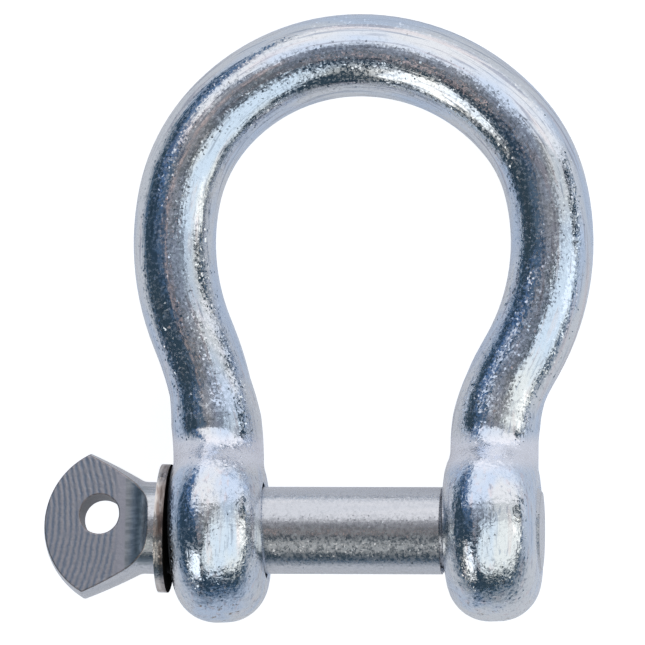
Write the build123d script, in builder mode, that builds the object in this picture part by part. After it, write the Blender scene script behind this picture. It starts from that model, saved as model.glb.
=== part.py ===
from build123d import *
import math
import os

# Screw pin bow shackle, nominal 10 mm, lying on its side as it comes to rest.
# Millimetres. The origin is on the pin's axis in the middle of the jaw. +X runs along the pin from
# its head to its threaded end, +Y from the pin towards the crown, and +Z is up from the floor, which
# lies an eye's radius below the origin.

# Driving dimensions of the bow
BAR_D = 9.5
JAW = 20.6
EYE_D = 21.3
EYE_THICKNESS = 10.7
EYE_RIM_RADIUS = 4.8
PLAIN_HOLE_D = 11.0
THREAD_HOLE_D = 10.0
PLAIN_HOLE_CHAMFER = 0.2
THREAD_HOLE_CHAMFER = 0.2
CROTCH_FILLET = 4.5
CROTCH_HEIGHT = 6.0
SWELL_TOP_HEIGHT = 16.5
SWELL_FOOT_HEIGHT = 12.6
FOOT_END_HEIGHT = 4.0
CROWN_HEIGHT = 54.95
CROWN_SHIFT = -0.1

# Each half of the bow has its own run of arcs, because the forging isn't quite even
HEAD_HALF = {
    "side": -1,
    "crown_radius": 21.7,
    "crown_end": 48.1,
    "shoulder_radius": 19.0,
    "shoulder_end": 79.4,
    "flank_radius": 27.7,
    "leg_lean": 22.5,
    "bend_radius": 37.5,
    "foot_diameter": 10.4,
    "foot_shift": 0.0,
    "eye_lean": 2.0,
    "eye_shift": 0.0,
    "eye_rise": 0.05,
}
THREAD_HALF = {
    "side": 1,
    "crown_radius": 23.5,
    "crown_end": 50.7,
    "shoulder_radius": 17.4,
    "shoulder_end": 75.1,
    "flank_radius": 26.4,
    "leg_lean": 29.0,
    "bend_radius": 18.7,
    "foot_diameter": 10.1,
    "foot_shift": 0.25,
    "eye_lean": 1.5,
    "eye_shift": 0.15,
    "eye_rise": 0.3,
}

# Driving dimensions of the screw pin
PIN_D = 10.0
COLLAR_D = 14.75
COLLAR_THICKNESS = 1.05
COLLAR_GAP = 0.05
COLLAR_RIM_RADIUS = 0.95
COLLAR_ROOT_FILLET = 0.25
NECK_D = 10.55
NECK_LENGTH = 2.0
FLARE_LENGTH = 6.4
FLARE_BULGE = 0.1
FLARE_FILLET = 1.5
HEAD_SPAN = 16.7
HEAD_DOME_RADIUS = 9.45
HEAD_DOME_DROP = 0.1
HEAD_ROLL = 9.4
HEAD_LEAN = 1.6
HEAD_LEAN_X = -15.0
PLATE_TIP_THICKNESS = 4.2
PLATE_ROOT_THICKNESS = 6.1
PLATE_LENGTH = 9.85
WEB_RADIUS = 3.0
WEB_SWEEP = 78.0
LANYARD_HOLE_D = 4.6
LANYARD_HOLE_SETBACK = 6.6
LANYARD_HOLE_RISE = 1.08
THREAD_START = 10.0
THREAD_D = 9.9
TIP_PROTRUSION = 0.45
TIP_CHAMFER = 0.5

# Places that follow from the dimensions above
EYE_R = EYE_D / 2
BAR_R = BAR_D / 2
PIN_R = PIN_D / 2
COLLAR_R = COLLAR_D / 2
NECK_R = NECK_D / 2
THREAD_R = THREAD_D / 2
EYE_CENTRE = (JAW + EYE_THICKNESS) / 2
EYE_OUTER_FACE = JAW / 2 + EYE_THICKNESS
EYE_FLAT_R = EYE_R - EYE_RIM_RADIUS
EYE_FACE_RUNOUT = EYE_FLAT_R * math.sin(math.radians(HEAD_HALF["eye_lean"]))
COLLAR_RUNOUT = EYE_FLAT_R * math.sin(math.radians(HEAD_LEAN))
COLLAR_INNER_X = -EYE_OUTER_FACE - EYE_FACE_RUNOUT - COLLAR_RUNOUT - COLLAR_GAP
COLLAR_OUTER_X = COLLAR_INNER_X - COLLAR_THICKNESS
FLARE_START_X = COLLAR_OUTER_X - NECK_LENGTH
HEAD_CORNER_X = FLARE_START_X - FLARE_LENGTH
DOME_DEPTH = HEAD_DOME_RADIUS - math.sqrt(HEAD_DOME_RADIUS**2 - (HEAD_SPAN / 2) ** 2)
HEAD_END_X = HEAD_CORNER_X - DOME_DEPTH
BLANK_END_X = HEAD_END_X - 1
PIN_TIP_X = EYE_OUTER_FACE + TIP_PROTRUSION

# The bow rests on both eyes and on the underside of its crown, so its plane tips a little
LIE_ANGLE = math.asin((EYE_R - BAR_R) / CROWN_HEIGHT)
bow_plane = Plane(
    origin=(0, 0, 0),
    x_dir=(1, 0, 0),
    z_dir=(0, math.sin(LIE_ANGLE), math.cos(LIE_ANGLE)),
)

# The pin's own plane holds its axis and looks at the side of its flattened head
ROLL = math.radians(HEAD_ROLL)
pin_plane = Plane(
    origin=(0, 0, 0),
    x_dir=(1, 0, 0),
    z_dir=(0, -math.cos(ROLL), math.sin(ROLL)),
)
pin_axis = Axis(pin_plane.origin, pin_plane.x_dir)

# The head was forged leaning a little towards the crown, and its collar and neck lean with it
head_lean = Pos(HEAD_LEAN_X, 0, 0) * Rot(0, 0, -HEAD_LEAN) * Pos(-HEAD_LEAN_X, 0, 0)
head_plane = Plane(head_lean * pin_plane.location)
head_axis = Axis(head_plane.origin, head_plane.x_dir)


def eye_place(half):
    """Where an eye stands and how it leans, a little off the pin's axis as forged."""
    centre = half["side"] * EYE_CENTRE + half["eye_shift"]
    return Pos(centre, half["eye_rise"], 0) * Rot(0, 0, half["eye_lean"])


def foot_x(half):
    """The leg comes down near the middle of the leaning eye."""
    crotch = eye_place(half) * Pos(0, CROTCH_HEIGHT, 0)
    return crotch.position.X + half["foot_shift"]


def draw_bend(half, before, turn):
    """Some degrees of the leg's last bend, carrying on from the line before."""
    return JernArc(
        start=before @ 1,
        tangent=before % 1,
        radius=half["bend_radius"],
        arc_size=half["side"] * turn,
    )


def draw_half_line(half):
    """From the crown's top round shoulder and flank, down the leg and into its last bend."""
    side = half["side"]
    lean = math.radians(half["leg_lean"])
    crown = JernArc(
        start=(CROWN_SHIFT, CROWN_HEIGHT),
        tangent=(side, 0),
        radius=half["crown_radius"],
        arc_size=-side * half["crown_end"],
    )
    shoulder = JernArc(
        start=crown @ 1,
        tangent=crown % 1,
        radius=half["shoulder_radius"],
        arc_size=-side * (half["shoulder_end"] - half["crown_end"]),
    )
    flank = JernArc(
        start=shoulder @ 1,
        tangent=shoulder % 1,
        radius=half["flank_radius"],
        arc_size=-side * (90 + half["leg_lean"] - half["shoulder_end"]),
    )
    bend_drift = half["bend_radius"] * (1 - math.cos(lean))
    leg_drift = side * ((flank @ 1).X - foot_x(half)) - bend_drift
    leg = PolarLine(flank @ 1, leg_drift / math.sin(lean), direction=flank % 1)
    bend_foot = bow_plane.to_local_coords(leg @ 1).Y - half["bend_radius"] * math.sin(lean)
    top_lean, foot_lean = (
        math.degrees(math.asin((height - bend_foot) / half["bend_radius"]))
        for height in (SWELL_TOP_HEIGHT, SWELL_FOOT_HEIGHT)
    )
    upper_bend = draw_bend(half, leg, half["leg_lean"] - top_lean)
    return upper_bend, top_lean, foot_lean


# Bow: one forged bar with an eye at each end, plain on the head's side and threaded on the other
with BuildPart() as shackle_bow:
    with BuildLine(bow_plane, mode=Mode.PRIVATE) as centre_line:
        legs = [draw_half_line(half) for half in (HEAD_HALF, THREAD_HALF)]
    bar_path = centre_line.wires()[0]
    with BuildSketch(Plane(origin=bar_path @ 0, x_dir=(1, 0, 0), z_dir=bar_path % 0)):
        Circle(BAR_R)
    sweep(path=bar_path)

    # Each leg swells in its last bend and runs on, thicker, into its eye
    for half, (upper_bend, top_lean, foot_lean) in zip((HEAD_HALF, THREAD_HALF), legs):
        foot_r = half["foot_diameter"] / 2
        with BuildLine(bow_plane, mode=Mode.PRIVATE) as swell_line:
            swell = draw_bend(half, upper_bend, top_lean - foot_lean)
        swell_path = swell_line.wires()[0]
        for share in (0, 0.5, 1):
            place = Plane(swell_path @ share, x_dir=bow_plane.z_dir, z_dir=swell_path % share)
            with BuildSketch(place):
                Circle(BAR_R + (foot_r - BAR_R) * share)
        loft()
        with BuildLine(bow_plane, mode=Mode.PRIVATE) as foot_line:
            foot = draw_bend(half, swell, foot_lean)
            run = bow_plane.to_local_coords(foot @ 1).Y - FOOT_END_HEIGHT
            PolarLine(foot @ 1, run, direction=foot % 1)
        foot_path = foot_line.wires()[0]
        with BuildSketch(Plane(foot_path @ 0, x_dir=bow_plane.z_dir, z_dir=foot_path % 0)):
            Circle(foot_r)
        sweep(path=foot_path)

    # Cushion-rimmed eyes, drawn on the side away from the bar and turned about the eye's axis
    for half in (HEAD_HALF, THREAD_HALF):
        plane = Plane(bow_plane.location * eye_place(half))
        with BuildSketch(plane) as rim:
            with Locations((0, -EYE_R / 2)):
                Rectangle(EYE_THICKNESS, EYE_R)
            fillet(rim.vertices().group_by(Axis.Y)[0], EYE_RIM_RADIUS)
        revolve(axis=Axis(plane.origin, plane.x_dir))

    # The bar flows into each eye, which leaves a soft valley between them
    crotch = shackle_bow.edges().filter_by(GeomType.BSPLINE)
    fillet(crotch.filter_by(lambda edge: edge.bounding_box().max.Y < EYE_R), CROTCH_FILLET)

    # Both holes lie on the pin's axis, and their mouths are eased
    for half, hole_d, mouth in (
        (HEAD_HALF, PLAIN_HOLE_D, PLAIN_HOLE_CHAMFER),
        (THREAD_HALF, THREAD_HOLE_D, THREAD_HOLE_CHAMFER),
    ):
        with BuildSketch(Plane.YZ.offset(half["side"] * EYE_CENTRE)):
            Circle(hole_d / 2)
        extrude(amount=EYE_THICKNESS, both=True, mode=Mode.SUBTRACT)
        bore = shackle_bow.faces(Select.LAST).filter_by(GeomType.CYLINDER)
        chamfer(bore.edges().filter_by(GeomType.LINE, reverse=True), mouth)

# Screw pin: head, neck, collar, shank and threaded end turned and flattened from one bar
with BuildPart() as screw_pin:
    with BuildSketch(head_plane) as profile:
        with BuildLine():
            flare = SagittaArc(
                (HEAD_CORNER_X, HEAD_SPAN / 2),
                (FLARE_START_X, NECK_R),
                FLARE_BULGE,
            )
            Polyline(
                flare @ 1,
                (COLLAR_OUTER_X, NECK_R),
                (COLLAR_OUTER_X, COLLAR_R),
                (COLLAR_INNER_X, COLLAR_R),
                (COLLAR_INNER_X, 0),
                (BLANK_END_X, 0),
                (BLANK_END_X, HEAD_SPAN / 2),
                flare @ 0,
            )
        make_face()
        corners = profile.vertices()
        for place, radius in (
            ((FLARE_START_X, NECK_R), FLARE_FILLET),
            ((COLLAR_OUTER_X, NECK_R), COLLAR_ROOT_FILLET),
            ((COLLAR_OUTER_X, COLLAR_R), COLLAR_RIM_RADIUS),
        ):
            fillet(corners.sort_by_distance(place)[0], radius)
    revolve(axis=head_axis)

    # The head's round end is struck a little lower than the rest of it
    dome_centre = head_plane.from_local_coords((HEAD_END_X + HEAD_DOME_RADIUS, 0, 0))
    with Locations(dome_centre - Vector(0, HEAD_DOME_DROP, 0)):
        Sphere(HEAD_DOME_RADIUS, mode=Mode.INTERSECT)

    # Shank and threaded end, the thread drawn as the smooth cylinder round its crests
    with BuildSketch(pin_plane):
        with BuildLine():
            Polyline(
                (COLLAR_INNER_X - COLLAR_THICKNESS / 2, 0),
                (COLLAR_INNER_X - COLLAR_THICKNESS / 2, PIN_R),
                (THREAD_START, PIN_R),
                (THREAD_START, THREAD_R),
                (PIN_TIP_X - TIP_CHAMFER, THREAD_R),
                (PIN_TIP_X, THREAD_R - TIP_CHAMFER),
                (PIN_TIP_X, 0),
                close=True,
            )
        make_face()
    revolve(axis=pin_axis)

    # Two flats make the head a spade, a little thinner at its end, and run out in a hollow to the neck
    with BuildSketch(head_plane):
        with BuildLine():
            flat = Line(
                (HEAD_END_X, PLATE_TIP_THICKNESS / 2),
                (HEAD_END_X + PLATE_LENGTH, PLATE_ROOT_THICKNESS / 2),
            )
            run_out = JernArc(start=flat @ 1, tangent=flat % 1, radius=WEB_RADIUS, arc_size=WEB_SWEEP)
            Polyline(
                run_out @ 1,
                ((run_out @ 1).X, HEAD_SPAN),
                (HEAD_END_X, HEAD_SPAN),
                flat @ 0,
            )
        make_face()
        mirror(about=Plane.XZ)
    extrude(amount=HEAD_SPAN, both=True, mode=Mode.SUBTRACT)

    # Lanyard hole through the spade
    hole_place = head_plane.from_local_coords(
        (HEAD_END_X + LANYARD_HOLE_SETBACK, 0, -LANYARD_HOLE_RISE)
    )
    with BuildSketch(Plane(origin=hole_place, x_dir=(1, 0, 0), z_dir=head_plane.y_dir)):
        Circle(LANYARD_HOLE_D / 2)
    extrude(amount=PLATE_ROOT_THICKNESS, both=True, mode=Mode.SUBTRACT)

os.makedirs("parts", exist_ok=True)
shackle_bow.part.label = "shackle_bow"
screw_pin.part.label = "screw_pin"
export_step(shackle_bow.part, "parts/shackle_bow.step")
export_step(screw_pin.part, "parts/screw_pin.step")
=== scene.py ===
"""Looks of a zinc-plated screw pin bow shackle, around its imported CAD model.

Metres, in the row frame: the origin is on the pin's axis in the middle of the jaw, +X runs to the
pin's threaded end, +Y to the crown, and +Z is up from the floor that the shackle lies on.
"""

import math

import bmesh
import bpy
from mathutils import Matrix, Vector
from mathutils.kdtree import KDTree


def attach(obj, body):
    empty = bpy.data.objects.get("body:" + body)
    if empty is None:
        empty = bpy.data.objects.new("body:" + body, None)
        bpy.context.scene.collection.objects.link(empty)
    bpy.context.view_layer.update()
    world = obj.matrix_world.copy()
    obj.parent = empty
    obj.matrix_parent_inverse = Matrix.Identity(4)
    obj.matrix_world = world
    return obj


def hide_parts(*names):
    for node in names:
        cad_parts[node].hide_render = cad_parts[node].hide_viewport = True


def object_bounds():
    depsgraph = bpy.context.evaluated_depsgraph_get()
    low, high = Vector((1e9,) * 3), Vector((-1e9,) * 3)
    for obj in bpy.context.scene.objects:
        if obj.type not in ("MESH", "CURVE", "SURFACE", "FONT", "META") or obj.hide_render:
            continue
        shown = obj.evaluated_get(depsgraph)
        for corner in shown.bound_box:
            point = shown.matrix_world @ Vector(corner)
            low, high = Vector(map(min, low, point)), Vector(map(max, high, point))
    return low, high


MM = 0.001

# The camera looks straight down, a little from the pin's threaded side
CAMERA_TARGET = Vector((-4.07, 23.83, -2.65)) * MM
CAMERA_DISTANCE = 950 * MM
CAMERA_YAW = math.radians(5.8)
CAMERA_LENS = 461.4
SENSOR_WIDTH = 36.0
CLIP_START = 0.05
CLIP_END = 20.0

# The pin's thread, M10 with a pitch of 1.5 mm, and the ridges that it runs in. The flats on its crest
# and in its root are shares of the pitch
THREAD_START = 10.0 * MM
THREAD_END = 20.95 * MM
THREAD_PITCH = 1.5 * MM
THREAD_RUNOUT = 0.6 * MM
THREAD_CREST_RADIUS = 4.95 * MM
THREAD_ROOT_RADIUS = 4.1 * MM
THREAD_CREST_FLAT = 0.125
THREAD_ROOT_FLAT = 0.25
THREAD_STEP = 0.1 * MM
THREAD_SIDES = 72
RIDGE_START = 10.75 * MM
RIDGE_END = 20.55 * MM
RIDGE_TIP_RADIUS = 4.3 * MM
RIDGE_ROOT_RADIUS = 4.99 * MM
RIDGE_END_RADIUS = 5.03 * MM

# How far a face may lie off the plain cylinder that the thread takes the place of
BAND_END_MARGIN = 0.01 * MM
BAND_RADIUS_MARGIN = 0.02 * MM

# The CAD model's facets are joined where corners are this close, and stay sharp past this angle
WELD_DISTANCE = 0.002 * MM
SHARP_ANGLE = math.radians(28)

# The bar's centre line, in mm. Each half has a side, then each arc's radius and its heading in degrees
# at the arc's end, from the crown down, then the radius of the bend back to the eye. From the bend the
# line runs straight down through the eye for the foot's length
CROWN_HEIGHT = 54.6
FOOT_X = 15.65
FOOT_LENGTH = 30.0
LINE_STEP = 0.4
HALF_LINES = (
    (-1, ((21.7, 48.1), (19.0, 79.4), (27.7, 112.5)), 37.5),
    (1, ((23.5, 50.7), (17.4, 75.1), (26.4, 119.0)), 18.7),
)

# How places are scaled for marks that run one way: below 1 draws the marks out, above 1 narrows them.
# On the bow this is along, across and above the bar, and on the pin along X, Y and Z
DRAWN_OUT = (0.035, 1, 1)
BRUSHED_OUT = (0.25, 1, 1)
BROKEN_OUT = (0.4, 1, 1)
SHANK_OUT = (0.06, 1, 1)
FLATS_OUT = (0.15, 1, 1)
RUNOUT_OUT = (0.1, 1, 1)
RIM_OUT = (1, 0.25, 0.25)
HOLE_OUT = (1, 1, 4)

# Crystals of the plating: how rare the glinting ones are, how much more they lean, and how the rest lean
GLINT_RARITY = 8.0
GLINT_LEAN = 3.2
PLAIN_LEAN = 0.55

# An edge is rounded, and a dark line of painted shade goes on it, where the rounded normal leaves the
# true one: their product where that begins, and where it is full
EDGE_SHADE_BEGINS = 0.998
EDGE_SHADE_FULL = 0.95

# Where the bow's marks are: the eyes' top, the hollow above them, which holds a pale painted reflection,
# the left leg's thin line of painted pink reflection, counted inwards from the bar's middle, and the
# painted shade on the eye's outer face in the gap to the collar, within the collar's reach
EYE_TOP = 12.0 * MM
HOLLOW_HEIGHT = 9.0 * MM
PINK_REFLECTION_LINE = -0.55 * MM
EYE_SHADE_START = -20.3 * MM
EYE_SHADE_REACH = 7.8 * MM

# The pin's head, its flats, which lean by the pin's roll, its lanyard hole, whose wall lies within the
# reach of its axis, and its collar. A facing is how squarely a face has to look one way to count
HEAD_FLAT_END = -23.1 * MM
FLAT_NORMAL = Vector((0.0046, 0.1633, 0.9866))
FLAT_FACING = 0.5
HOLE_CENTRE = Vector((-29.26, 1.46, -0.18)) * MM
HOLE_REACH = 2.4 * MM
COLLAR_START = -22.6 * MM
COLLAR_END = -21.3 * MM
COLLAR_ROOT = -20.6 * MM
COLLAR_INSIDE = 5.01 * MM
COLLAR_FACING = 0.2
# The middle of a ring of painted shade on the pin, at the collar's root in the gap to the eye
PIN_SHADE_MIDDLE = -20.9 * MM

# The flats' grinding marks are arcs about a far centre, then come a pale band and a dull run-out
GRIND_CENTRE = Vector((-51.0, 1.3, 0)) * MM
GRIND_PITCH = 0.68 * MM
SCRATCHES_PER_METRE = 5200
PALE_BAND_START = -27.9 * MM
PALE_BAND_FADE = 1.2 * MM
RUNOUT_START = -26.2 * MM
RUNOUT_FADE = 0.15 * MM

# Colours of the metal, of what lies on it, and of painted shade, highlights and reflections, as linear
# red, green and blue
ZINC_NEUTRAL = (0.785, 0.81, 0.835, 1)
ZINC_BLUE = (0.63, 0.735, 0.885, 1)
# A pale painted reflection, for the hollows above the eyes
ZINC_PAINTED_REFLECTION = (0.90, 0.91, 0.97, 1)
ZINC_STREAK = (0.34, 0.40, 0.50, 1)
ZINC_FLUSH = (0.80, 0.67, 0.66, 1)
ZINC_STAIN = (0.33, 0.25, 0.20, 1)
# A painted pink reflection line
PAINTED_PINK_REFLECTION = (0.92, 0.74, 0.70, 1)
# A dark line of painted shade on sharp edges
EDGE_PAINTED_SHADE = (0.20, 0.15, 0.13, 1)
# The black of painted shade, in the gaps by the collar
GAP_SHADE_BLACK = (0.012, 0.012, 0.013, 1)
SATIN_LIGHT = (0.70, 0.71, 0.74, 1)
SATIN_DARK = (0.64, 0.66, 0.70, 1)
GROUND_LIGHT = (0.92, 0.88, 0.89, 1)
GROUND_DARK = (0.62, 0.60, 0.64, 1)
GROUND_GROOVE = (0.38, 0.46, 0.58, 1)
PALE_BAND = (0.84, 0.82, 0.88, 1)
RUNOUT_LIGHT = (0.74, 0.76, 0.78, 1)
RUNOUT_DARK = (0.50, 0.53, 0.55, 1)
RIM_LIGHT = (0.44, 0.40, 0.39, 1)
RIM_DARK = (0.18, 0.15, 0.14, 1)
# A painted highlight on the collar's rim
RIM_PAINTED_HIGHLIGHT = (0.88, 0.84, 0.80, 1)
RIM_BROWN = (0.22, 0.14, 0.11, 1)
# Painted shade in the lanyard hole
HOLE_SHADE_LIGHT = (0.09, 0.10, 0.12, 1)
HOLE_SHADE_DARK = (0.02, 0.022, 0.03, 1)
# Painted shade on the collar's face in the gap to the eye
GAP_SHADE_LIGHT = (0.045, 0.038, 0.034, 1)
GAP_SHADE_DARK = (0.012, 0.011, 0.011, 1)

# How rough the painted gap shade and the painted reflection line are, and the metal of the flats, the
# rim and the hole
GAP_SHADE_ROUGHNESS = 0.75
PINK_REFLECTION_ROUGHNESS = 0.6
GROUND_ROUGHNESS = 0.30
RIM_ROUGHNESS = 0.24
HOLE_ROUGHNESS = 0.36

# The floor, and how bright it looks in the metal: close to the shackle, and far off beyond the crown
FLOOR_HALF = 3.0
FLOOR_PAPER = (0.47, 0.52, 0.59, 1)
FLOOR_SEEN = 0.86
FLOOR_GLOW = 0.36
FLOOR_FAR_GLOW = 0.55
FLOOR_NEAR_END = 0.05
FLOOR_FAR_START = 0.16
BOW_MIDDLE = Vector((0, 25, 0)) * MM
BEYOND_CROWN = (0.6, 1, 0)

# What the metal reflects: each panel's corners in degrees off straight up, towards +X and towards +Y and
# anticlockwise, then its edge softness, colour and strength
ROOM_COLOUR = (0.036, 0.062, 0.086, 1)
HORIZON_COLOUR = (0.11, 0.20, 0.32, 1)
HORIZON_START = 80
HORIZON_END = 94
ROOM_PANELS = (
    ([(-48, 30), (-6, 27), (62, 34), (108, 52), (60, 118), (-18, 110)], 3.0, (0.97, 0.97, 1.0), 1.04),
    ([(0, -40), (30, -56), (64, -42), (86, 4), (52, 16), (22, 10)], 3.0, (0.96, 1.0, 0.99), 1.04),
    ([(54, -16), (80, -12), (80, 14), (56, 10)], 6.0, (1.0, 1.0, 0.97), 1.35),
    ([(-54, -20), (-48, -60), (-14, -62), (-10, -28)], 5.0, (1.0, 0.99, 0.95), 1.45),
    ([(-20, -14), (10, -14), (20, 24), (-26, 28)], 5.0, (0.88, 0.94, 1.0), 0.19),
    ([(-50, 4), (-18, 2), (-18, 28), (-50, 32)], 6.0, (0.45, 0.70, 1.0), 0.20),
    ([(16, 6), (50, 12), (60, 36), (14, 30)], 4.0, (0.93, 0.96, 1.0), 0.34),
    ([(30, 8), (58, 12), (66, 38), (26, 32)], 4.0, (0.93, 0.97, 1.0), 0.74),
    ([(-20, 12), (16, 10), (20, 28), (-30, 28)], 4.0, (0.92, 0.92, 1.0), 0.34),
    ([(-15, -9), (-8, -9), (-8, 5), (-15, 5)], 1.8, (1.0, 0.78, 0.72), 0.66),
    ([(-64, 34), (-44, 14), (-28, 30), (-20, 74), (-46, 82)], 7.0, (0.32, 0.56, 0.95), 0.36),
)

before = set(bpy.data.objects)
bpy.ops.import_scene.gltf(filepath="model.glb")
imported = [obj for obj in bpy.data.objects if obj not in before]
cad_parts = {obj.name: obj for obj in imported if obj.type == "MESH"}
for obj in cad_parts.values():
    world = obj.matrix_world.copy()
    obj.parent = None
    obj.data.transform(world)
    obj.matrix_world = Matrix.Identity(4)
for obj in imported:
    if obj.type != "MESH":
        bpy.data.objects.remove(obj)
cad_low, cad_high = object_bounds()
floor_height = cad_low.z


def new_material(name):
    """A material with an empty node tree, and the tree."""
    material = bpy.data.materials.new(name)
    material.use_nodes = True
    material.node_tree.nodes.clear()
    return material, material.node_tree


def add_node(tree, kind, inputs=None, **settings):
    """A new node: settings are its own options, and inputs are values or the outputs that feed it."""
    node = tree.nodes.new(kind)
    for name, value in settings.items():
        setattr(node, name, value)
    for name, value in (inputs or {}).items():
        if isinstance(value, bpy.types.NodeSocket):
            tree.links.new(value, node.inputs[name])
        else:
            node.inputs[name].default_value = value
    return node


def math_node(tree, operation, *values):
    """The result of one step of arithmetic on numbers."""
    return add_node(tree, "ShaderNodeMath", dict(enumerate(values)), operation=operation).outputs[0]


def vector_node(tree, operation, *values):
    """The vector that one step of arithmetic on vectors gives."""
    step = add_node(tree, "ShaderNodeVectorMath", dict(enumerate(values)), operation=operation)
    return step.outputs["Vector"]


def measure_node(tree, operation, *values):
    """The number that one step of arithmetic on vectors gives."""
    step = add_node(tree, "ShaderNodeVectorMath", dict(enumerate(values)), operation=operation)
    return step.outputs["Value"]


def enlarged(tree, vector, factor):
    """vector times one factor."""
    inputs = {0: vector, "Scale": factor}
    return add_node(tree, "ShaderNodeVectorMath", inputs, operation="SCALE").outputs["Vector"]


def axis_part(tree, place, axis):
    """One of the three numbers in place."""
    return add_node(tree, "ShaderNodeSeparateXYZ", {0: place}).outputs[axis]


def object_place(tree):
    """Where a point of the piece is, in its own frame."""
    return add_node(tree, "ShaderNodeTexCoord").outputs["Object"]


def off_by(tree, value, middle):
    """How far value is from middle, either way."""
    return math_node(tree, "ABSOLUTE", math_node(tree, "SUBTRACT", value, middle))


def smooth_range(tree, value, low, high, low_out=0.0, high_out=1.0):
    """value's place between low and high, eased at both ends."""
    inputs = {"Value": value, "From Min": low, "From Max": high, "To Min": low_out, "To Max": high_out}
    return add_node(tree, "ShaderNodeMapRange", inputs, interpolation_type="SMOOTHSTEP").outputs["Result"]


def noise(tree, place, size_mm, detail=2.0, roughness=0.5, distortion=0.0):
    """Cloudy variation whose lumps are about size_mm across."""
    inputs = {
        "Vector": place,
        "Scale": 1 / (size_mm * MM),
        "Detail": detail,
        "Roughness": roughness,
        "Distortion": distortion,
    }
    return add_node(tree, "ShaderNodeTexNoise", inputs).outputs["Fac"]


def mix_colour(tree, factor, first, second):
    """first where factor is 0, and second where it is 1."""
    inputs = {"Factor": factor, "A": first, "B": second}
    return add_node(tree, "ShaderNodeMix", inputs, data_type="RGBA").outputs["Result"]


def bump(tree, height, depth_mm, normal=None):
    """The normal of a surface that rises by depth_mm where height goes from 0 to 1."""
    inputs = {"Height": height, "Distance": depth_mm * MM, "Strength": 1.0}
    if normal is not None:
        inputs["Normal"] = normal
    return add_node(tree, "ShaderNodeBump", inputs).outputs[0]


def worn_edge_and_shade(tree, radius_mm):
    """The normal with sharp edges rounded off, and a mask that is 1 on those edges, for a line of painted
    shade.
    """
    rounded = add_node(tree, "ShaderNodeBevel", {"Radius": radius_mm * MM}, samples=6).outputs[0]
    true = add_node(tree, "ShaderNodeNewGeometry").outputs["Normal"]
    agreement = measure_node(tree, "DOT_PRODUCT", rounded, true)
    return rounded, smooth_range(tree, agreement, EDGE_SHADE_BEGINS, EDGE_SHADE_FULL)


def facet_normal(tree, place, size_mm, lean, true=None):
    """The surface's normal, leaning its own way on each small irregular crystal of the plating."""
    scale = 1 / (size_mm * MM)
    wander = add_node(tree, "ShaderNodeTexNoise", {"Vector": place, "Scale": scale, "Detail": 2.0})
    bent = vector_node(tree, "ADD", place, enlarged(tree, wander.outputs["Color"], size_mm * MM))
    cells = add_node(tree, "ShaderNodeTexVoronoi", {"Vector": bent, "Scale": scale})
    sideways = vector_node(tree, "SUBTRACT", cells.outputs["Color"], (0.5, 0.5, 0.5))

    # A few crystals lean much more than the rest, and glint
    chance = axis_part(tree, cells.outputs["Color"], "Z")
    rare = math_node(tree, "POWER", chance, GLINT_RARITY)
    share = math_node(tree, "MULTIPLY_ADD", rare, GLINT_LEAN, PLAIN_LEAN)
    sideways = enlarged(tree, sideways, math_node(tree, "MULTIPLY", lean, share))
    if true is None:
        true = add_node(tree, "ShaderNodeNewGeometry").outputs["Normal"]
    return vector_node(tree, "NORMALIZE", vector_node(tree, "ADD", true, sideways))


def rougher(tree, roughness, mask, amount):
    """roughness, raised to amount where mask is 1."""
    return math_node(tree, "MAXIMUM", roughness, math_node(tree, "MULTIPLY", mask, amount))


def finish_metal(tree, colour, roughness, normal):
    """Ends a tree as bare metal."""
    inputs = {"Base Color": colour, "Roughness": roughness, "Normal": normal, "Metallic": 1.0}
    shader = add_node(tree, "ShaderNodeBsdfPrincipled", inputs)
    add_node(tree, "ShaderNodeOutputMaterial", {"Surface": shader.outputs[0]})


class BowSpot:
    """Where a point of the bow is, as outputs: in the row frame, along its bar, and whether in an eye."""

    def __init__(self, tree):
        self.place = object_place(tree)
        self.east = axis_part(tree, self.place, "X")
        self.height = axis_part(tree, self.place, "Y")
        self.bar = add_node(tree, "ShaderNodeAttribute", attribute_name="bar_place").outputs["Vector"]
        self.drawn = vector_node(tree, "MULTIPLY", self.bar, DRAWN_OUT)
        self.brushed = vector_node(tree, "MULTIPLY", self.bar, BRUSHED_OUT)
        self.eyes = smooth_range(tree, self.height, EYE_TOP, EYE_TOP - 4.0 * MM)


def brown_stain(tree, spot):
    """A few small brown blots, most of them under the eyes."""
    bottom = smooth_range(tree, spot.height, -5.5 * MM, -9.0 * MM, 0.0, 0.09)
    blots = math_node(tree, "ADD", noise(tree, spot.place, 1.4, detail=4.0, roughness=0.75), bottom)
    return smooth_range(tree, blots, 0.70, 0.77)


def eye_gap_shade(tree, spot):
    """Painted shade in smeared patches on the eye's outer face, in the gap where the collar presses on it."""
    face = smooth_range(tree, spot.east, EYE_SHADE_START, EYE_SHADE_START - 0.4 * MM)
    from_axis = math_node(tree, "ABSOLUTE", spot.height)
    by_collar = smooth_range(tree, from_axis, EYE_SHADE_REACH, EYE_SHADE_REACH - 0.8 * MM)
    shade_patches = noise(tree, spot.place, 0.9, detail=4.0, roughness=0.7)
    shade_patches = smooth_range(tree, shade_patches, 0.35, 0.62, 0.30, 0.90)
    return math_node(tree, "MULTIPLY", math_node(tree, "MULTIPLY", face, by_collar), shade_patches)


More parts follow.
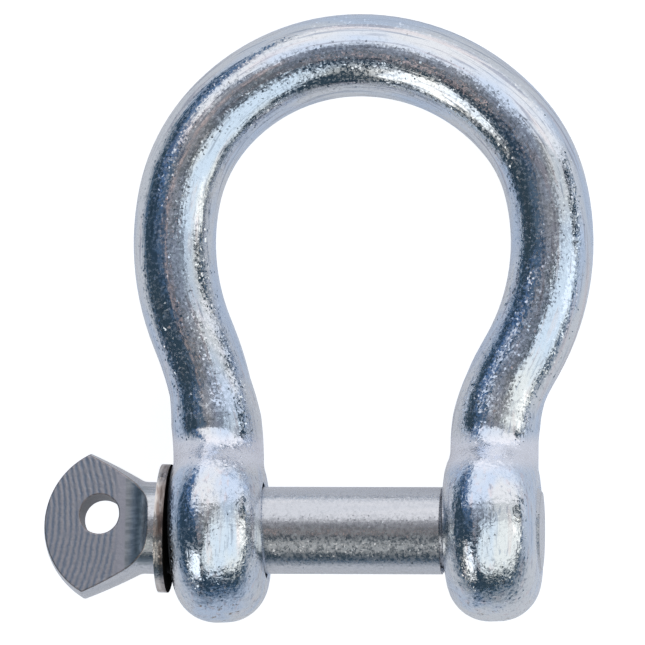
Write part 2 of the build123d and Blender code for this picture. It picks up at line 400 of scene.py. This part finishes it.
def pink_reflection_line(tree, spot):
    """A painted pink reflection: a thin broken line down the left leg, just outside the bar's middle."""
    across = axis_part(tree, spot.bar, "Y")
    across = math_node(tree, "MULTIPLY_ADD", noise(tree, spot.brushed, 1.5), 0.5 * MM, across)
    line = smooth_range(tree, off_by(tree, across, PINK_REFLECTION_LINE), 0.34 * MM, 0.06 * MM)
    line = math_node(tree, "MULTIPLY", line, smooth_range(tree, spot.east, -6 * MM, -12 * MM))
    line = math_node(tree, "MULTIPLY", line, smooth_range(tree, spot.height, 13 * MM, 18 * MM))
    broken = noise(tree, vector_node(tree, "MULTIPLY", spot.bar, BROKEN_OUT), 0.45, detail=4.0, roughness=0.7)
    return math_node(tree, "MULTIPLY", line, smooth_range(tree, broken, 0.40, 0.60, 0.15, 0.75))


def forged_colour(tree, spot, stain):
    """Neutral and bluish clouds, with pinkish and grey lines along the bar, a pale painted reflection in each
    hollow, and stains.
    """
    cloud = smooth_range(tree, noise(tree, spot.brushed, 3.5, detail=3.0), 0.38, 0.62)
    colour = mix_colour(tree, cloud, ZINC_NEUTRAL, ZINC_BLUE)
    flush = noise(tree, spot.drawn, 0.7, detail=3.0, roughness=0.6)
    colour = mix_colour(tree, smooth_range(tree, flush, 0.54, 0.66, 0.0, 0.40), colour, ZINC_FLUSH)

    # The grey lines are densest at the crown
    lines = noise(tree, spot.drawn, 0.35, detail=3.0, roughness=0.6)
    lines = math_node(tree, "ADD", lines, smooth_range(tree, spot.height, 30 * MM, 50 * MM, 0.0, 0.04))
    colour = mix_colour(tree, smooth_range(tree, lines, 0.55, 0.70, 0.0, 0.70), colour, ZINC_STREAK)

    # A pale painted reflection lies in the hollow where each leg meets its eye
    hollow = smooth_range(tree, off_by(tree, spot.height, HOLLOW_HEIGHT), 2.6 * MM, 0.6 * MM)
    colour = mix_colour(tree, hollow, colour, ZINC_PAINTED_REFLECTION)
    return mix_colour(tree, stain, colour, ZINC_STAIN)


def forged_normal(tree, spot, stain):
    """Crystals, marks drawn along the bar and soft dents."""
    # The crystals lean most in patches low on the legs, and least in the eyes
    patches = smooth_range(tree, noise(tree, spot.brushed, 3.0), 0.40, 0.62, 0.07, 0.19)
    low = smooth_range(tree, spot.height, 40 * MM, 22 * MM, 0.0, 0.08)
    calm = smooth_range(tree, spot.height, 9 * MM, 15 * MM, 0.50, 1.0)
    lean = math_node(tree, "MULTIPLY", math_node(tree, "ADD", patches, low), calm)
    normal = facet_normal(tree, spot.place, 0.22, lean)
    normal = bump(tree, noise(tree, spot.drawn, 0.5, detail=3.0, roughness=0.6), 0.030, normal)
    normal = bump(tree, noise(tree, spot.brushed, 1.4), 0.045, normal)
    normal = bump(tree, noise(tree, spot.place, 6.0, detail=1.0), 0.20, normal)
    hammered = noise(tree, spot.place, 0.9, detail=3.0, distortion=0.6)
    normal = bump(tree, math_node(tree, "MULTIPLY", hammered, spot.eyes), 0.07, normal)

    # Each eye's crest falls away a little on its right-hand side
    middle = math_node(tree, "MULTIPLY", math_node(tree, "SIGN", spot.east), FOOT_X * MM)
    crest = smooth_range(tree, math_node(tree, "SUBTRACT", spot.east, middle), 2.8 * MM, -1.6 * MM)
    normal = bump(tree, math_node(tree, "MULTIPLY", crest, spot.eyes), 0.80, normal)
    return bump(tree, stain, 0.03, normal)


def forged_zinc():
    """Bright plating over the forged bow, stained in places, with painted shade on the eye's face by the
    collar and painted reflections.
    """
    material, tree = new_material("forged_zinc")
    spot = BowSpot(tree)
    stain = brown_stain(tree, spot)
    # Painted shade on the eye's face in the collar's gap, and a painted pink reflection line on the left leg
    gap_shade = eye_gap_shade(tree, spot)
    line = pink_reflection_line(tree, spot)
    colour = mix_colour(tree, gap_shade, forged_colour(tree, spot, stain), GAP_SHADE_BLACK)
    colour = mix_colour(tree, line, colour, PAINTED_PINK_REFLECTION)
    crystals = noise(tree, spot.place, 0.4, detail=3.0, roughness=0.7)
    roughness = smooth_range(tree, crystals, 0.42, 0.68, 0.08, 0.40)
    roughness = rougher(tree, roughness, gap_shade, GAP_SHADE_ROUGHNESS)
    roughness = rougher(tree, roughness, line, PINK_REFLECTION_ROUGHNESS)
    finish_metal(tree, colour, roughness, forged_normal(tree, spot, stain))
    return material


def turned_zinc():
    """The pin's satin plating, with faint marks along it, a dark line of painted shade on its sharp edges,
    and a ring of painted shade in the collar's root.
    """
    material, tree = new_material("turned_zinc")
    place = object_place(tree)
    rubbed = vector_node(tree, "MULTIPLY", place, SHANK_OUT)
    rounded, edge = worn_edge_and_shade(tree, 0.16)
    normal = facet_normal(tree, place, 0.17, 0.085, rounded)
    normal = bump(tree, noise(tree, place, 0.9), 0.012, normal)
    normal = bump(tree, noise(tree, rubbed, 0.4, detail=3.0), 0.012, normal)

    cloud = smooth_range(tree, noise(tree, rubbed, 1.5, detail=3.0), 0.35, 0.65)
    colour = mix_colour(tree, cloud, SATIN_LIGHT, SATIN_DARK)
    # A dark line of painted shade on the sharp edges
    colour = mix_colour(tree, math_node(tree, "MULTIPLY", edge, 0.6), colour, EDGE_PAINTED_SHADE)
    # A ring of painted shade at the collar's root, in the gap to the eye
    off_root = off_by(tree, axis_part(tree, place, "X"), PIN_SHADE_MIDDLE)
    gap_shade = smooth_range(tree, off_root, 0.9 * MM, 0.6 * MM)
    colour = mix_colour(tree, gap_shade, colour, GAP_SHADE_BLACK)
    crystals = noise(tree, place, 0.4, detail=3.0, roughness=0.7)
    roughness = smooth_range(tree, crystals, 0.38, 0.66, 0.18, 0.38)
    finish_metal(tree, colour, rougher(tree, roughness, gap_shade, GAP_SHADE_ROUGHNESS), normal)
    return material


def grinding_marks(tree, place, plain):
    """Heights of the grinding wheel's curved marks, which end where plain is 1, and of fine scratches."""
    from_centre = vector_node(tree, "SUBTRACT", place, GRIND_CENTRE)
    reach = measure_node(tree, "LENGTH", vector_node(tree, "MULTIPLY", from_centre, (1, 1, 0)))
    reach = math_node(tree, "MULTIPLY_ADD", noise(tree, place, 3.0), 0.5 * MM, reach)
    reach = math_node(tree, "MULTIPLY_ADD", noise(tree, place, 0.5, detail=3.0), 0.35 * MM, reach)
    wave = math_node(tree, "SINE", math_node(tree, "MULTIPLY", reach, math.tau / GRIND_PITCH))
    uneven = smooth_range(tree, noise(tree, place, 1.2, detail=3.0, roughness=0.7), 0.28, 0.55, 0.35, 1.0)
    strength = math_node(tree, "MULTIPLY", uneven, math_node(tree, "SUBTRACT", 1.0, plain))
    marks = math_node(tree, "MULTIPLY_ADD", math_node(tree, "MULTIPLY", wave, strength), 0.5, 0.5)
    marks = math_node(tree, "POWER", marks, 0.7)
    inputs = {"W": math_node(tree, "MULTIPLY", reach, SCRATCHES_PER_METRE), "Detail": 2.0}
    scratches = add_node(tree, "ShaderNodeTexNoise", inputs, noise_dimensions="1D").outputs["Fac"]
    return marks, scratches


def ground_zinc():
    """The head's flats: curved marks of the grinding wheel, then a smooth pale band and a dull run-out, with
    a dark line of painted shade on their edges.
    """
    material, tree = new_material("ground_zinc")
    place = object_place(tree)
    east = axis_part(tree, place, "X")
    plain = smooth_range(tree, east, PALE_BAND_START, PALE_BAND_START + PALE_BAND_FADE)
    runout = smooth_range(tree, east, RUNOUT_START - RUNOUT_FADE, RUNOUT_START + RUNOUT_FADE)
    marks, scratches = grinding_marks(tree, place, plain)

    rounded, edge = worn_edge_and_shade(tree, 0.27)
    normal = bump(tree, marks, 0.020, rounded)
    normal = bump(tree, scratches, 0.006, normal)
    normal = bump(tree, noise(tree, place, 0.30, detail=3.0), 0.012, normal)
    lengthwise = vector_node(tree, "MULTIPLY", place, FLATS_OUT)
    normal = bump(tree, noise(tree, lengthwise, 0.5, detail=3.0), 0.010, normal)

    grain = noise(tree, place, 0.25, detail=3.0, roughness=0.7)
    light = mix_colour(tree, grain, GROUND_DARK, GROUND_LIGHT)
    colour = mix_colour(tree, marks, GROUND_GROOVE, light)
    colour = mix_colour(tree, math_node(tree, "MULTIPLY", plain, 0.7), colour, PALE_BAND)
    smear = noise(tree, vector_node(tree, "MULTIPLY", place, RUNOUT_OUT), 0.5, detail=3.0)
    dull = mix_colour(tree, smooth_range(tree, smear, 0.40, 0.65), RUNOUT_DARK, RUNOUT_LIGHT)
    colour = mix_colour(tree, runout, colour, dull)
    # A dark line of painted shade on the sharp edges
    colour = mix_colour(tree, math_node(tree, "MULTIPLY", edge, 0.9), colour, EDGE_PAINTED_SHADE)
    finish_metal(tree, colour, GROUND_ROUGHNESS, normal)
    return material


def rubbed_zinc():
    """The collar's rim, where the plating has rubbed to a warm grey with brown patches, and a painted
    highlight on its side towards the head.
    """
    material, tree = new_material("rubbed_zinc")
    place = object_place(tree)
    round_rim = vector_node(tree, "MULTIPLY", place, RIM_OUT)
    normal = facet_normal(tree, place, 0.22, 0.10)
    normal = bump(tree, noise(tree, round_rim, 0.5), 0.03, normal)
    worn = smooth_range(tree, noise(tree, round_rim, 0.6, detail=3.0), 0.35, 0.62)
    colour = mix_colour(tree, worn, RIM_DARK, RIM_LIGHT)
    east = axis_part(tree, place, "X")
    # A painted highlight along the rim's side towards the head
    painted_highlight = smooth_range(tree, east, COLLAR_START + 0.9 * MM, COLLAR_START + 0.4 * MM, 0.0, 0.7)
    colour = mix_colour(tree, painted_highlight, colour, RIM_PAINTED_HIGHLIGHT)
    brown = smooth_range(tree, noise(tree, round_rim, 0.9, detail=4.0), 0.54, 0.70, 0.0, 0.7)
    colour = mix_colour(tree, brown, colour, RIM_BROWN)
    finish_metal(tree, colour, RIM_ROUGHNESS, normal)
    return material


def shaded_hole_zinc():
    """The drilled wall of the lanyard hole, dull, and coloured dark as painted shade in the hole."""
    material, tree = new_material("shaded_hole_zinc")
    place = object_place(tree)
    rings = noise(tree, vector_node(tree, "MULTIPLY", place, HOLE_OUT), 0.8, detail=3.0)
    # The wall is coloured dark, as painted shade in the hole
    colour = mix_colour(tree, noise(tree, place, 1.2, detail=3.0), HOLE_SHADE_DARK, HOLE_SHADE_LIGHT)
    finish_metal(tree, colour, HOLE_ROUGHNESS, bump(tree, rings, 0.03))
    return material


def collar_gap_shade():
    """Painted shade: a dark, matt sheet on the collar's hidden face, in the gap to the eye."""
    material, tree = new_material("collar_gap_shade")
    place = object_place(tree)
    inputs = {
        "Base Color": mix_colour(tree, noise(tree, place, 0.8, detail=3.0), GAP_SHADE_DARK, GAP_SHADE_LIGHT),
        "Roughness": 0.9,
        "Normal": bump(tree, noise(tree, place, 0.5, detail=3.0), 0.04),
        "Specular IOR Level": 0.0,
    }
    shader = add_node(tree, "ShaderNodeBsdfPrincipled", inputs)
    add_node(tree, "ShaderNodeOutputMaterial", {"Surface": shader.outputs[0]})
    return material


def seen_by_camera(tree, path):
    """1 for what the camera sees, straight or through glass."""
    return math_node(tree, "MAXIMUM", path.outputs["Is Camera Ray"], path.outputs["Is Transmission Ray"])


def floor_material():
    """A white floor that takes a soft shadow. The metal sees it bright near by and dim far off."""
    material, tree = new_material("white_floor")
    outwards = vector_node(tree, "SUBTRACT", object_place(tree), BOW_MIDDLE)
    distance = measure_node(tree, "LENGTH", outwards)
    near = smooth_range(tree, distance, FLOOR_NEAR_END, FLOOR_FAR_START, 1.0, 0.0)
    direction = vector_node(tree, "NORMALIZE", outwards)
    beyond_crown = measure_node(tree, "DOT_PRODUCT", direction, BEYOND_CROWN)
    far_glow = smooth_range(tree, beyond_crown, -0.2, 0.8, 0.0, FLOOR_FAR_GLOW)
    more = math_node(tree, "SUBTRACT", FLOOR_GLOW, far_glow)
    glow_in_metal = math_node(tree, "MULTIPLY_ADD", near, more, far_glow)

    path = add_node(tree, "ShaderNodeLightPath")
    seen = seen_by_camera(tree, path)
    glow_in_metal = math_node(tree, "MULTIPLY", path.outputs["Is Glossy Ray"], glow_in_metal)
    strength = math_node(tree, "MAXIMUM", math_node(tree, "MULTIPLY", seen, FLOOR_SEEN), glow_in_metal)
    tint = mix_colour(tree, near, (0.94, 0.95, 1, 1), (1, 0.96, 0.96, 1))
    tint = mix_colour(tree, seen, tint, (1, 1, 1, 1))
    glow = add_node(tree, "ShaderNodeEmission", {"Color": tint, "Strength": strength})
    paper = add_node(tree, "ShaderNodeBsdfDiffuse", {"Color": FLOOR_PAPER})
    both = add_node(tree, "ShaderNodeAddShader", {0: glow.outputs[0], 1: paper.outputs[0]})
    add_node(tree, "ShaderNodeOutputMaterial", {"Surface": both.outputs[0]})
    return material


def soft_panel(tree, spot, corners, feather):
    """1 inside a convex patch of the room and 0 outside it. Its corners go round anticlockwise."""
    mask = 1.0
    for (x0, y0), (x1, y1) in zip(corners, corners[1:] + corners[:1]):
        inwards = Vector((y0 - y1, x1 - x0, 0)).normalized()
        inwards.z = -(inwards.x * x0 + inwards.y * y0)
        depth = measure_node(tree, "DOT_PRODUCT", spot, inwards)
        mask = math_node(tree, "MULTIPLY", mask, smooth_range(tree, depth, -feather, feather))
    return mask


def build_world():
    """The studio that the metal reflects, a dim room with soft panels. The camera sees plain white."""
    world = bpy.data.worlds.new("studio")
    bpy.context.scene.world = world
    world.use_nodes = True
    tree = world.node_tree
    tree.nodes.clear()

    # A spot in the room is its degrees off straight up, towards +X and towards +Y, and then a plain 1
    towards = add_node(tree, "ShaderNodeTexCoord").outputs["Generated"]
    tilt = math_node(tree, "ARCCOSINE", axis_part(tree, towards, "Z"))
    tilt = math_node(tree, "MULTIPLY", tilt, math.degrees(1))
    level = vector_node(tree, "NORMALIZE", vector_node(tree, "MULTIPLY", towards, (1, 1, 0)))
    spot = vector_node(tree, "ADD", enlarged(tree, level, tilt), (0, 0, 1))

    low_down = smooth_range(tree, tilt, HORIZON_START, HORIZON_END)
    light = mix_colour(tree, low_down, ROOM_COLOUR, HORIZON_COLOUR)
    for corners, feather, colour, strength in ROOM_PANELS:
        shade = math_node(tree, "MULTIPLY", soft_panel(tree, spot, corners, feather), strength)
        light = vector_node(tree, "MAXIMUM", light, enlarged(tree, colour, shade))
    room = add_node(tree, "ShaderNodeBackground", {"Color": light, "Strength": 1.0})
    white = add_node(tree, "ShaderNodeBackground", {"Color": (1, 1, 1, 1), "Strength": 1.0})
    seen = seen_by_camera(tree, add_node(tree, "ShaderNodeLightPath"))
    both = add_node(tree, "ShaderNodeMixShader", {0: seen, 1: room.outputs[0], 2: white.outputs[0]})
    add_node(tree, "ShaderNodeOutputWorld", {"Surface": both.outputs[0]})


def add_floor():
    """A wide plain floor that the shackle lies on."""
    mesh = bpy.data.meshes.new("floor")
    corners = []
    for x, y in ((-1, -1), (1, -1), (1, 1), (-1, 1)):
        corners.append((x * FLOOR_HALF, y * FLOOR_HALF, 0))
    mesh.from_pydata(corners, [], [(0, 1, 2, 3)])
    mesh.materials.append(floor_material())
    floor = bpy.data.objects.new("floor", mesh)
    floor.location = (0, 0, floor_height)
    bpy.context.scene.collection.objects.link(floor)


def add_camera():
    """The camera at the photograph's viewing angle."""
    lens = bpy.data.cameras.new("camera")
    lens.lens = CAMERA_LENS
    lens.sensor_width = SENSOR_WIDTH
    lens.clip_start = CLIP_START
    lens.clip_end = CLIP_END
    camera = bpy.data.objects.new("camera", lens)
    back = Vector((math.sin(CAMERA_YAW), 0, math.cos(CAMERA_YAW)))
    camera.location = CAMERA_TARGET + back * CAMERA_DISTANCE
    camera.rotation_euler = (0, CAMERA_YAW, 0)
    bpy.context.scene.collection.objects.link(camera)
    bpy.context.scene.camera = camera


def arc_moves(heading, end, radius):
    """Short moves round an arc, from one heading to another, each as its heading and its length."""
    moves = []
    most = LINE_STEP / radius
    while abs(end - heading) > 1e-6:
        turn = max(-most, min(most, end - heading))
        heading += turn
        moves.append((heading, abs(turn) * radius))
    return moves


def half_moves(arcs, bend_radius):
    """Moves along one half of the bar's middle, from the crown to its foot. Headings turn down from level."""
    moves = []
    heading = 0.0
    for radius, end in arcs:
        moves += arc_moves(heading, math.radians(end), radius)
        heading = moves[-1][0]

    # The straight leg is as long as it takes to bring the bend back over the foot
    lean = heading - math.pi / 2
    reach = sum(math.cos(angle) * step for angle, step in moves)
    straight = (reach - bend_radius * (1 - math.cos(lean)) - FOOT_X) / math.sin(lean)
    moves += [(heading, LINE_STEP)] * max(0, round(straight / LINE_STEP))
    moves += arc_moves(heading, math.pi / 2, bend_radius)
    moves += [(math.pi / 2, LINE_STEP)] * round(FOOT_LENGTH / LINE_STEP)
    return moves


def centre_line():
    """Points, headings and stations along the middle of the bar, in mm. Stations count from the crown."""
    line = []
    for side, arcs, bend_radius in HALF_LINES:
        x, y, station = 0.0, CROWN_HEIGHT, 0.0
        for heading, step in half_moves(arcs, bend_radius):
            x += math.cos(heading) * step
            y -= math.sin(heading) * step
            station += step
            ahead = Vector((side * math.cos(heading), -math.sin(heading)))
            line.append((Vector((side * x, y)), ahead, side * station))
    return line


def mark_bar_places(mesh):
    """Stores each vertex's place along and across the bar, for marks that run along it."""
    line = centre_line()
    tree = KDTree(len(line))
    for index, (point, _, _) in enumerate(line):
        tree.insert((*point, 0), index)
    tree.balance()
    places = mesh.attributes.new("bar_place", "FLOAT_VECTOR", "POINT")
    for vertex, place in zip(mesh.vertices, places.data):
        flat = vertex.co.xy / MM
        nearest = tree.find((*flat, 0))[1]
        point, heading, station = line[nearest]
        offset = flat - point
        side = math.copysign(1, station)
        along = station + side * offset.dot(heading)
        inwards = side * (offset.x * heading.y - offset.y * heading.x)
        place.vector = Vector((along, inwards, vertex.co.z / MM)) * MM


def thread_depth(phase):
    """How deep a thread is at a phase of its pitch: 0 on the crest, and 1 at the root half a pitch away."""
    from_root = abs(phase % 1.0 - 0.5) * 2
    crest_edge = 1 - THREAD_CREST_FLAT
    return min(1.0, max(0.0, (crest_edge - from_root) / (crest_edge - THREAD_ROOT_FLAT)))


def add_thread(mesh, start, end, crest_radius, root_radius, end_radius, faces_axis):
    """Adds a right-handed helical surface about the pin's axis, which runs out at both ends."""
    work = bmesh.new()
    work.from_mesh(mesh)
    rings = round((end - start) / THREAD_STEP)
    previous = None
    for ring in range(rings + 1):
        x = start + (end - start) * ring / rings
        ease = min(1.0, (x - start) / THREAD_RUNOUT, (end - x) / THREAD_RUNOUT)
        row = []
        for step in range(THREAD_SIDES):
            turn = step / THREAD_SIDES
            depth = ease * thread_depth(x / THREAD_PITCH - turn)
            radius = crest_radius + (root_radius - crest_radius) * depth
            if ring in (0, rings):
                radius = end_radius
            angle = math.tau * turn
            row.append(work.verts.new((x, radius * math.cos(angle), radius * math.sin(angle))))
        if previous is not None:
            for step in range(THREAD_SIDES):
                after = (step + 1) % THREAD_SIDES
                corners = [previous[step], row[step], row[after], previous[after]]
                if not faces_axis:
                    corners.reverse()
                work.faces.new(corners).smooth = True
        previous = row
    work.to_mesh(mesh)
    work.free()


def on_thread_band(vert):
    """Whether a corner lies on the plain cylinder that the thread takes the place of."""
    in_length = THREAD_START - BAND_END_MARGIN < vert.co.x < THREAD_END + BAND_END_MARGIN
    return in_length and abs(vert.co.yz.length - THREAD_CREST_RADIUS) < BAND_RADIUS_MARGIN


def clear_thread_band(mesh):
    """Takes the plain cylinder off the pin where its thread goes."""
    work = bmesh.new()
    work.from_mesh(mesh)
    plain = []
    for face in work.faces:
        if all(on_thread_band(vert) for vert in face.verts):
            plain.append(face)
    bmesh.ops.delete(work, geom=plain, context="FACES")
    work.to_mesh(mesh)
    work.free()


def smooth_copy(node_name, piece_name, body):
    """A copy of a CAD node with its facets joined, so that its curved faces shade smoothly together."""
    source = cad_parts[node_name]
    mesh = source.data.copy()
    mesh.name = piece_name
    mesh.materials.clear()
    work = bmesh.new()
    work.from_mesh(mesh)
    bmesh.ops.remove_doubles(work, verts=work.verts, dist=WELD_DISTANCE)
    work.to_mesh(mesh)
    work.free()
    if "custom_normal" in mesh.attributes:
        mesh.attributes.remove(mesh.attributes["custom_normal"])
    mesh.shade_smooth()
    mesh.set_sharp_from_angle(angle=SHARP_ANGLE)
    piece = bpy.data.objects.new(piece_name, mesh)
    bpy.context.scene.collection.objects.link(piece)
    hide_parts(node_name)
    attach(piece, body)
    return piece


# The pin's finishes, in the order of its materials
PIN_FINISHES = (turned_zinc, ground_zinc, rubbed_zinc, collar_gap_shade, shaded_hole_zinc)


def pin_finish(face):
    """The finish of one face of the pin: the head's flats, the collar and the hole each have their own."""
    middle = face.center
    in_head = middle.x < HEAD_FLAT_END
    if in_head and abs(face.normal.dot(FLAT_NORMAL)) > FLAT_FACING:
        return ground_zinc
    if in_head and (middle - HOLE_CENTRE).cross(FLAT_NORMAL).length < HOLE_REACH:
        return shaded_hole_zinc
    if COLLAR_START < middle.x < COLLAR_ROOT and middle.yz.length > COLLAR_INSIDE:
        # The collar's face towards the eye is a dark sheet of painted shade
        faces_eye = face.normal.x > COLLAR_FACING or middle.x > COLLAR_END
        return collar_gap_shade if faces_eye else rubbed_zinc
    return turned_zinc


def add_bow():
    """The bow, with ridges in its threaded eye."""
    bow = smooth_copy("shackle_bow", "bow", "bow")
    bow.data.materials.append(forged_zinc())
    add_thread(bow.data, RIDGE_START, RIDGE_END, RIDGE_ROOT_RADIUS, RIDGE_TIP_RADIUS, RIDGE_END_RADIUS, True)
    mark_bar_places(bow.data)


def add_pin():
    """The pin, with its thread cut and its parts finished each in its own way."""
    pin = smooth_copy("screw_pin", "pin", "pin")
    clear_thread_band(pin.data)
    ends = THREAD_CREST_RADIUS
    add_thread(pin.data, THREAD_START, THREAD_END, THREAD_CREST_RADIUS, THREAD_ROOT_RADIUS, ends, False)
    for finish in PIN_FINISHES:
        pin.data.materials.append(finish())
    for face in pin.data.polygons:
        face.material_index = PIN_FINISHES.index(pin_finish(face))


add_bow()
add_pin()
add_floor()
add_camera()
build_world()
bpy.context.scene.view_settings.view_transform = "Standard"
